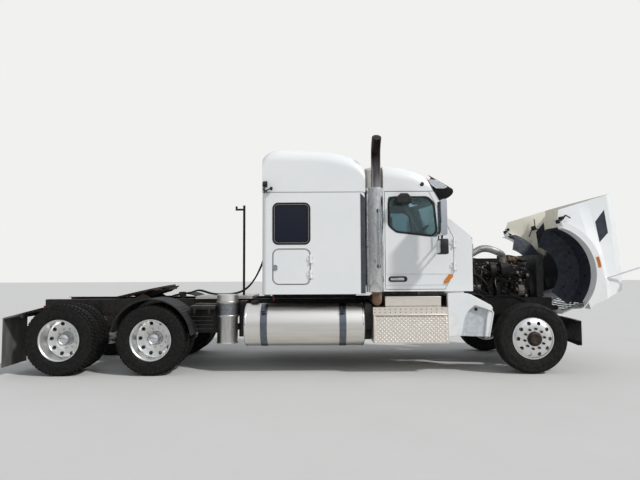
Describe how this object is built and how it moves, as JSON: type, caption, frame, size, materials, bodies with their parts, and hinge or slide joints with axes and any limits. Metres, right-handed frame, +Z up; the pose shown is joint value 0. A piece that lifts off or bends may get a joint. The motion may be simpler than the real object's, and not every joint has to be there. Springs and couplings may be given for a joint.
{
  "type": "conventional sleeper tractor unit",
  "caption": "Long-nose road tractor with tandem drive axles, a roofed sleeper, side tanks and an open forward-tilting hood.",
  "frame": {"origin": "on the ground, below the middle of the truck's whole length and width", "axes": "+X forward, +Y to the truck's left, +Z up"},
  "size_m": [9.5655, 3.02, 3.4883],
  "materials": {
    "white_paint": "gloss white enamel, lightly dusty",
    "black_paint": "black chassis paint, dusty",
    "cast_iron": "oily cast iron",
    "chrome": "polished chrome",
    "polished_aluminium": "polished aluminium",
    "brushed_aluminium": "brushed aluminium",
    "tyre_rubber": "weathered black rubber",
    "hose_rubber": "black rubber hose",
    "black_plastic": "moulded black plastic",
    "cabin_trim": "grey cabin trim",
    "dark_glass": "tinted glass",
    "lamp_lens": "clear lamp lens",
    "red_lens": "red lamp lens",
    "exhaust_steel": "heat stained steel"
  },
  "bodies": {
    "chassis": {"frame_rails": "black_paint", "crossmembers": "black_paint", "bumper": "black_paint", "axles": "cast_iron", "suspension": "cast_iron", "engine_block": "cast_iron", "charge_pipe": "brushed_aluminium", "radiator": "black_plastic", "exhaust_stack": "exhaust_steel", "aftertreatment": "exhaust_steel", "fuel_tanks": "polished_aluminium", "tank_straps": "brushed_aluminium", "step_boxes": "brushed_aluminium", "quarter_fenders": "white_paint", "rear_mudguards": "black_plastic", "deck_plate": "brushed_aluminium", "pogo_pole": "black_paint", "hose_right": "hose_rubber", "hose_left": "hose_rubber", "hose_connectors": "cast_iron", "fifth_wheel_base": "cast_iron", "cab_shell": "white_paint", "cab_roof": "white_paint", "cab_boot": "black_plastic", "cab_interior": "cabin_trim", "fixed_glass": "dark_glass", "sun_visor": "chrome", "sleeper_shell": "white_paint", "sleeper_roof": "white_paint", "tail_lamps": "red_lens"},
    "door_right": {"door_right": "white_paint", "door_glass_right": "dark_glass", "door_mirror_right": "chrome"},
    "door_left": {"door_left": "white_paint", "door_glass_left": "dark_glass", "door_mirror_left": "chrome"},
    "luggage_door_right": {"luggage_door_right": "white_paint"},
    "luggage_door_left": {"luggage_door_left": "white_paint"},
    "hood": {"hood_shell": "white_paint", "grille": "chrome", "headlamps": "lamp_lens", "hood_liners": "black_plastic", "hood_mirrors": "chrome"},
    "fifth_wheel": {"fifth_wheel_plate": "cast_iron"},
    "knuckle_right": {"knuckle_right": "cast_iron"},
    "knuckle_left": {"knuckle_left": "cast_iron"},
    "wheel_front_right": {"tyre_front_right": "tyre_rubber", "wheel_front_right": "polished_aluminium"},
    "wheel_front_left": {"tyre_front_left": "tyre_rubber", "wheel_front_left": "polished_aluminium"},
    "wheels_middle_right": {"tyres_middle_right": "tyre_rubber", "wheel_middle_right": "polished_aluminium"},
    "wheels_middle_left": {"tyres_middle_left": "tyre_rubber", "wheel_middle_left": "polished_aluminium"},
    "wheels_rear_right": {"tyres_rear_right": "tyre_rubber", "wheel_rear_right": "polished_aluminium"},
    "wheels_rear_left": {"tyres_rear_left": "tyre_rubber", "wheel_rear_left": "polished_aluminium"}
  },
  "joints": [
    {"name": "steer_right", "type": "hinge", "parent": "chassis", "child": "knuckle_right", "pos_m": [2.865, -0.905, 0.51], "axis": [0, 0, 1], "range_deg": [-32, 32]},
    {"name": "steer_left", "type": "hinge", "parent": "chassis", "child": "knuckle_left", "pos_m": [2.865, 0.905, 0.51], "axis": [0, 0, 1], "range_deg": [-32, 32]},
    {"name": "spin_front_right", "type": "hinge", "parent": "knuckle_right", "child": "wheel_front_right", "pos_m": [2.865, -1.06, 0.51], "axis": [0, 1, 0], "continuous": true},
    {"name": "spin_front_left", "type": "hinge", "parent": "knuckle_left", "child": "wheel_front_left", "pos_m": [2.865, 1.06, 0.51], "axis": [0, 1, 0], "continuous": true},
    {"name": "spin_middle_right", "type": "hinge", "parent": "chassis", "child": "wheels_middle_right", "pos_m": [-2.6545, -0.918, 0.51], "axis": [0, 1, 0], "continuous": true},
    {"name": "spin_middle_left", "type": "hinge", "parent": "chassis", "child": "wheels_middle_left", "pos_m": [-2.6545, 0.918, 0.51], "axis": [0, 1, 0], "continuous": true},
    {"name": "spin_rear_right", "type": "hinge", "parent": "chassis", "child": "wheels_rear_right", "pos_m": [-3.9755, -0.918, 0.51], "axis": [0, 1, 0], "continuous": true},
    {"name": "spin_rear_left", "type": "hinge", "parent": "chassis", "child": "wheels_rear_left", "pos_m": [-3.9755, 0.918, 0.51], "axis": [0, 1, 0], "continuous": true},
    {"name": "door_right_hinge", "type": "hinge", "parent": "chassis", "child": "door_right", "pos_m": [1.775, -1.066, 1.9], "axis": [0, 0, 1], "range_deg": [0, 70]},
    {"name": "door_left_hinge", "type": "hinge", "parent": "chassis", "child": "door_left", "pos_m": [1.775, 1.066, 1.9], "axis": [0, 0, -1], "range_deg": [0, 70]},
    {"name": "luggage_right_hinge", "type": "hinge", "parent": "chassis", "child": "luggage_door_right", "pos_m": [-0.347, -1.191, 1.56], "axis": [0, 0, 1], "range_deg": [0, 90]},
    {"name": "luggage_left_hinge", "type": "hinge", "parent": "chassis", "child": "luggage_door_left", "pos_m": [-0.347, 1.191, 1.56], "axis": [0, 0, -1], "range_deg": [0, 90]},
    {"name": "hood_tilt", "type": "hinge", "parent": "chassis", "child": "hood", "pos_m": [3.545, 0, 0.898], "axis": [0, 1, 0], "range_deg": [-73, 0]},
    {"name": "fifth_wheel_tilt", "type": "hinge", "parent": "chassis", "child": "fifth_wheel", "pos_m": [-3.035, 0, 1.13], "axis": [0, 1, 0], "range_deg": [0, 20]}
  ],
  "couplings": [
    {"joint": "steer_left", "follows": "steer_right", "ratio": 1}
  ]
}
